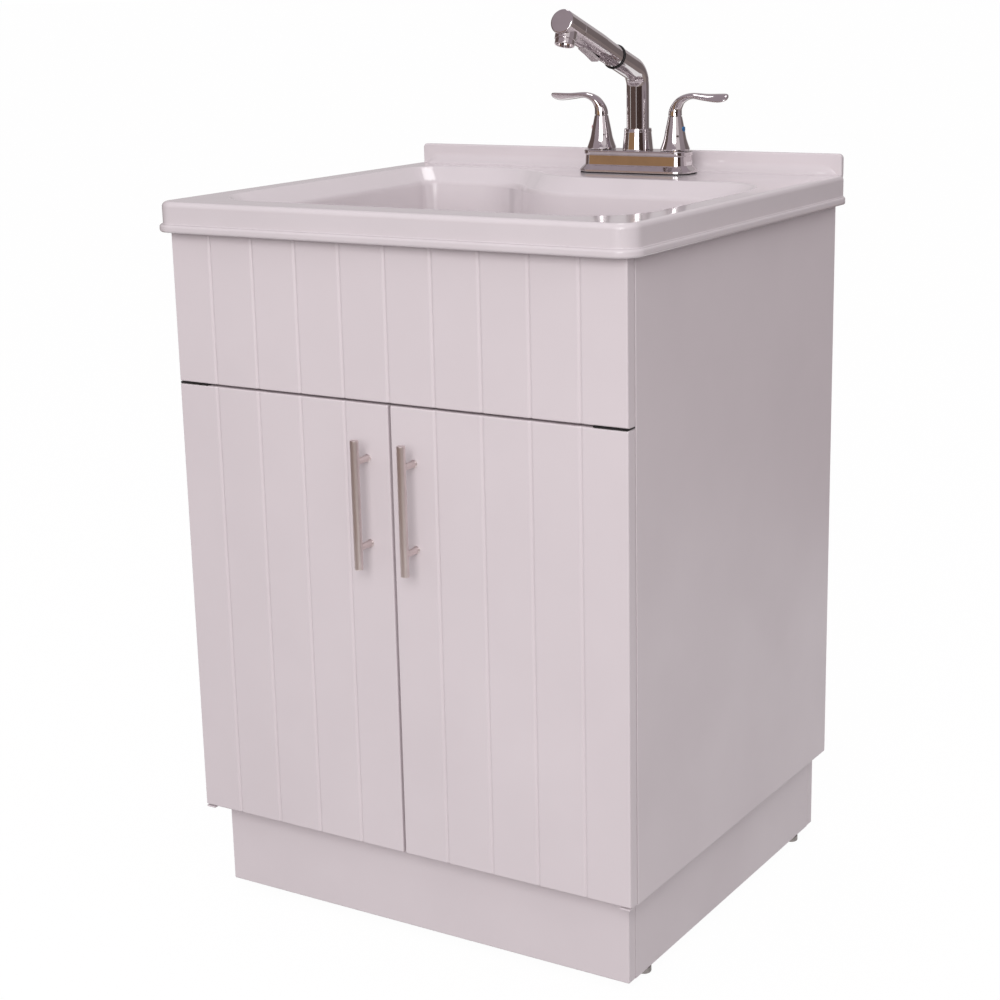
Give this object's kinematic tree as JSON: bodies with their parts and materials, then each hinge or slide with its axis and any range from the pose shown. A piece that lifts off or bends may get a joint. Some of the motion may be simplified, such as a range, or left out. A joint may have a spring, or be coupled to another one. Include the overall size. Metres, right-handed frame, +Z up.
{
  "type": "laundry sink cabinet",
  "caption": "Free-standing white cabinet with grooved doors and a false drawer front under a moulded laundry sink with a pull-out spray tap.",
  "frame": {"origin": "on the floor, under the middle of the part's box", "axes": "+X to the right as seen by the user, +Y towards the wall, +Z up"},
  "size_m": [0.6128, 0.556, 1.0365],
  "materials": {
    "white_film_board": "satin",
    "pine": "matte",
    "satin_steel": "satin",
    "zinc_steel": "satin",
    "nylon": "matte",
    "white_plastic": "satin",
    "black_steel": "satin",
    "grey_plastic": "satin",
    "moulded_sink": "gloss",
    "stainless": "satin",
    "black_rubber": "matte",
    "white_pipe": "satin",
    "chrome": "mirror",
    "brass": "satin",
    "red_button": "gloss",
    "blue_button": "gloss",
    "aerator_plastic": "satin"
  },
  "bodies": {
    "cabinet": {"left_side_panel": "white_film_board", "right_side_panel": "white_film_board", "bottom_panel": "white_film_board", "front_top_rail": "white_film_board", "front_middle_rail": "white_film_board", "back_top_rail": "white_film_board", "back_bottom_rail": "white_film_board", "drawer_front": "white_film_board", "plinth_front": "white_film_board", "plinth_back": "white_film_board", "plinth_left": "white_film_board", "plinth_right": "white_film_board", "drawer_front_cleats": "pine", "plinth_corner_blocks": "pine", "sink_brackets": "zinc_steel", "foot_inserts": "zinc_steel", "left_pivot_plates": "black_steel", "right_pivot_plates": "black_steel", "tap_mounting_nuts": "nylon", "magnetic_catch": "white_plastic", "tailpiece_nut": "white_plastic", "strainer_locknut": "white_plastic", "sink_top": "moulded_sink", "strainer_body": "stainless", "strainer_gasket": "black_rubber", "tap_gasket": "black_rubber", "tailpiece": "white_pipe", "tap_base": "chrome", "spout_collar": "chrome", "tap_shanks": "brass", "tap_valves": "brass"},
    "left_door": {"left_door": "white_film_board", "left_pull_bar": "satin_steel", "left_pull_posts": "satin_steel", "left_pull_screws": "zinc_steel", "left_pivot_sleeves": "nylon", "left_strike_plate": "zinc_steel"},
    "right_door": {"right_door": "white_film_board", "right_pull_bar": "satin_steel", "right_pull_posts": "satin_steel", "right_pull_screws": "zinc_steel", "right_pivot_sleeves": "nylon", "right_strike_plate": "zinc_steel"},
    "left_tap_handle": {"left_tap_hub": "chrome", "left_tap_lever": "chrome", "left_index_button": "red_button"},
    "right_tap_handle": {"right_tap_hub": "chrome", "right_tap_lever": "chrome", "right_index_button": "blue_button"},
    "spout": {"spout_tube": "chrome", "spout_ring": "black_rubber"},
    "spray_head": {"spray_head": "chrome", "toggle_pin": "zinc_steel", "aerator": "aerator_plastic"},
    "spray_toggle": {"spray_toggle": "grey_plastic"},
    "strainer_basket": {"strainer_basket": "stainless"},
    "front_left_foot": {"front_left_foot": "zinc_steel"},
    "front_right_foot": {"front_right_foot": "zinc_steel"},
    "back_left_foot": {"back_left_foot": "zinc_steel"},
    "back_right_foot": {"back_right_foot": "zinc_steel"}
  },
  "joints": [
    {"name": "left_door_swing", "type": "hinge", "parent": "cabinet", "child": "left_door", "pos_m": [-0.286, -0.244, 0.37], "axis": [0, 0, -1], "range_deg": [0, 110]},
    {"name": "right_door_swing", "type": "hinge", "parent": "cabinet", "child": "right_door", "pos_m": [0.286, -0.244, 0.37], "axis": [0, 0, 1], "range_deg": [0, 110]},
    {"name": "left_tap_turn", "type": "hinge", "parent": "cabinet", "child": "left_tap_handle", "pos_m": [-0.0008, 0.227, 0.8661], "axis": [0, 0, 1], "range_deg": [0, 90]},
    {"name": "right_tap_turn", "type": "hinge", "parent": "cabinet", "child": "right_tap_handle", "pos_m": [0.1008, 0.227, 0.8661], "axis": [0, 0, -1], "range_deg": [0, 90]},
    {"name": "spout_swivel", "type": "hinge", "parent": "cabinet", "child": "spout", "pos_m": [0.05, 0.227, 0.8661], "axis": [0, 0, 1], "range_deg": [-60, 60]},
    {"name": "spray_pull", "type": "slide", "parent": "spout", "child": "spray_head", "axis": [0, -0.9426, 0.3338], "range_m": [0, 0.35]},
    {"name": "toggle_press", "type": "hinge", "parent": "spray_head", "child": "spray_toggle", "pos_m": [0.05, 0.09677, 0.99397], "axis": [-1, 0, 0], "range_deg": [0, 5]},
    {"name": "basket_lift", "type": "slide", "parent": "cabinet", "child": "strainer_basket", "axis": [0, 0, 1], "range_m": [0, 0.15]},
    {"name": "front_left_foot_turn", "type": "hinge", "parent": "cabinet", "child": "front_left_foot", "pos_m": [-0.2675, -0.1764, 0.008], "axis": [0, 0, -1], "continuous": true},
    {"name": "front_right_foot_turn", "type": "hinge", "parent": "cabinet", "child": "front_right_foot", "pos_m": [0.2675, -0.1764, 0.008], "axis": [0, 0, -1], "continuous": true},
    {"name": "back_left_foot_turn", "type": "hinge", "parent": "cabinet", "child": "back_left_foot", "pos_m": [-0.2675, 0.225, 0.008], "axis": [0, 0, -1], "continuous": true},
    {"name": "back_right_foot_turn", "type": "hinge", "parent": "cabinet", "child": "back_right_foot", "pos_m": [0.2675, 0.225, 0.008], "axis": [0, 0, -1], "continuous": true}
  ]
}
